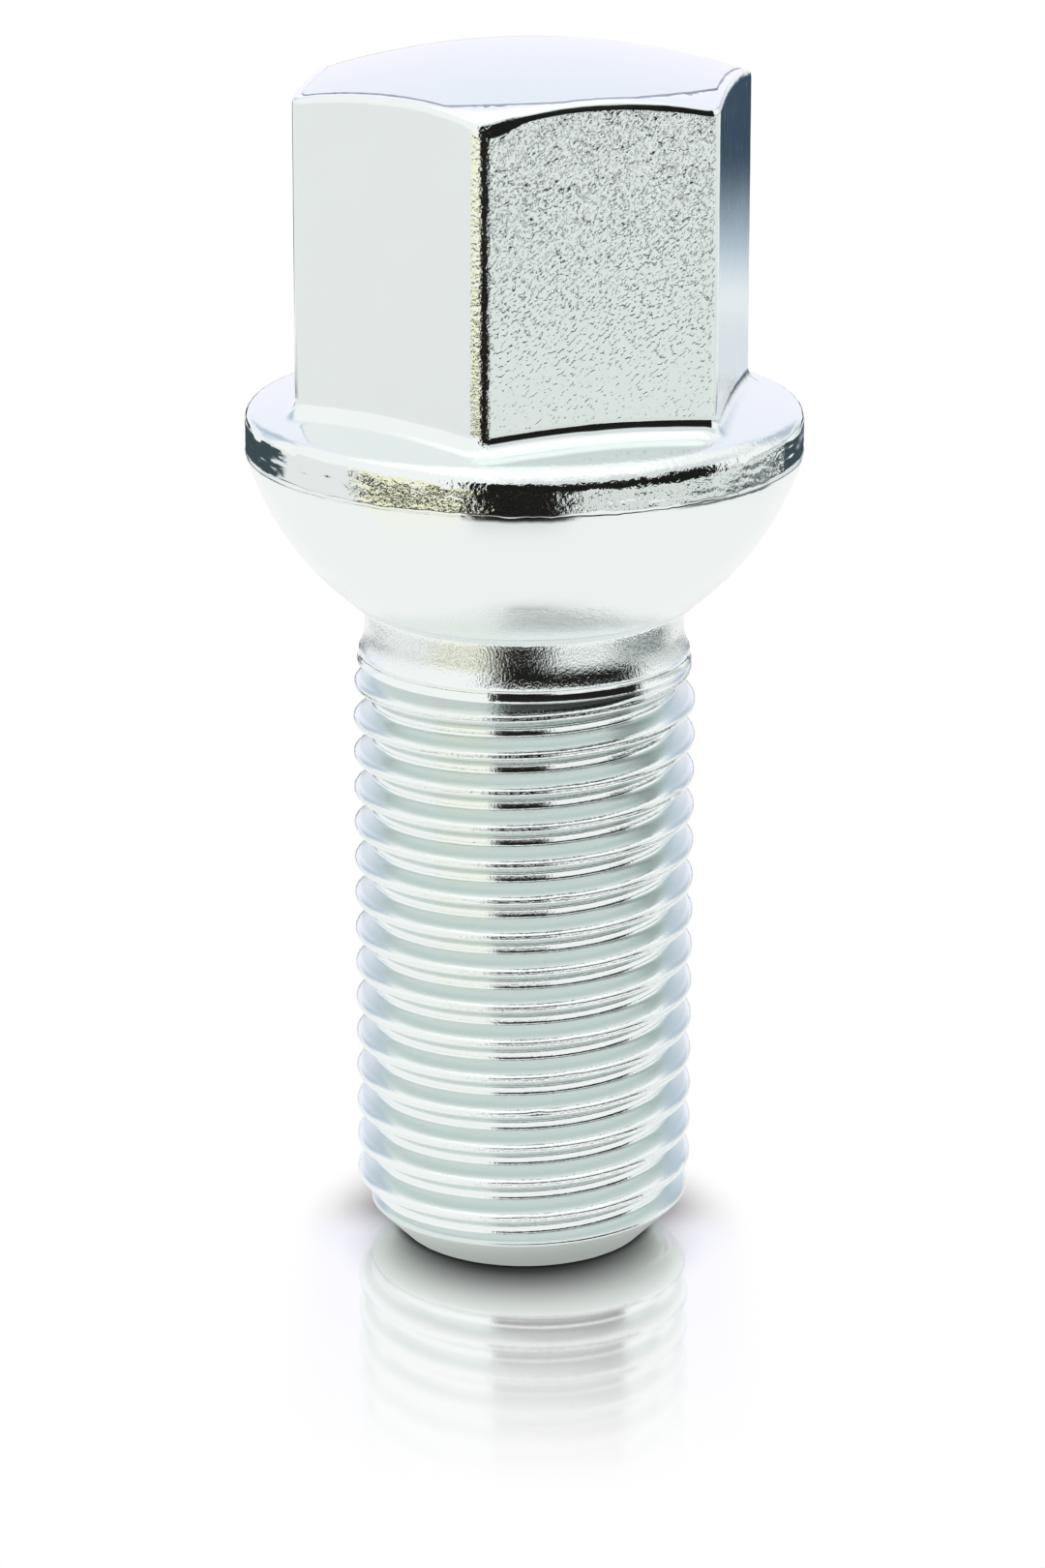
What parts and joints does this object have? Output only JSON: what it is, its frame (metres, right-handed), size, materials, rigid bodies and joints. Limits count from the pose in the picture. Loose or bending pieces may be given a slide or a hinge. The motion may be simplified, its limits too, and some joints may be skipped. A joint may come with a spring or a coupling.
{
  "type": "wheel bolt",
  "caption": "Plated steel wheel bolt with a domed hexagon head, a flange, a fixed ball seat, a plain neck and a fine metric thread.",
  "frame": {"origin": "centre of the flat tip, which is the face the bolt stands on", "axes": "+Z along the bolt's axis from the tip towards the head; one flat of the hexagon faces -Y"},
  "size_m": [0.0222, 0.0222, 0.0491],
  "materials": {
    "plated_steel": "polished"
  },
  "bodies": {
    "root": {"wheel_bolt": "plated_steel"}
  },
  "joints": []
}
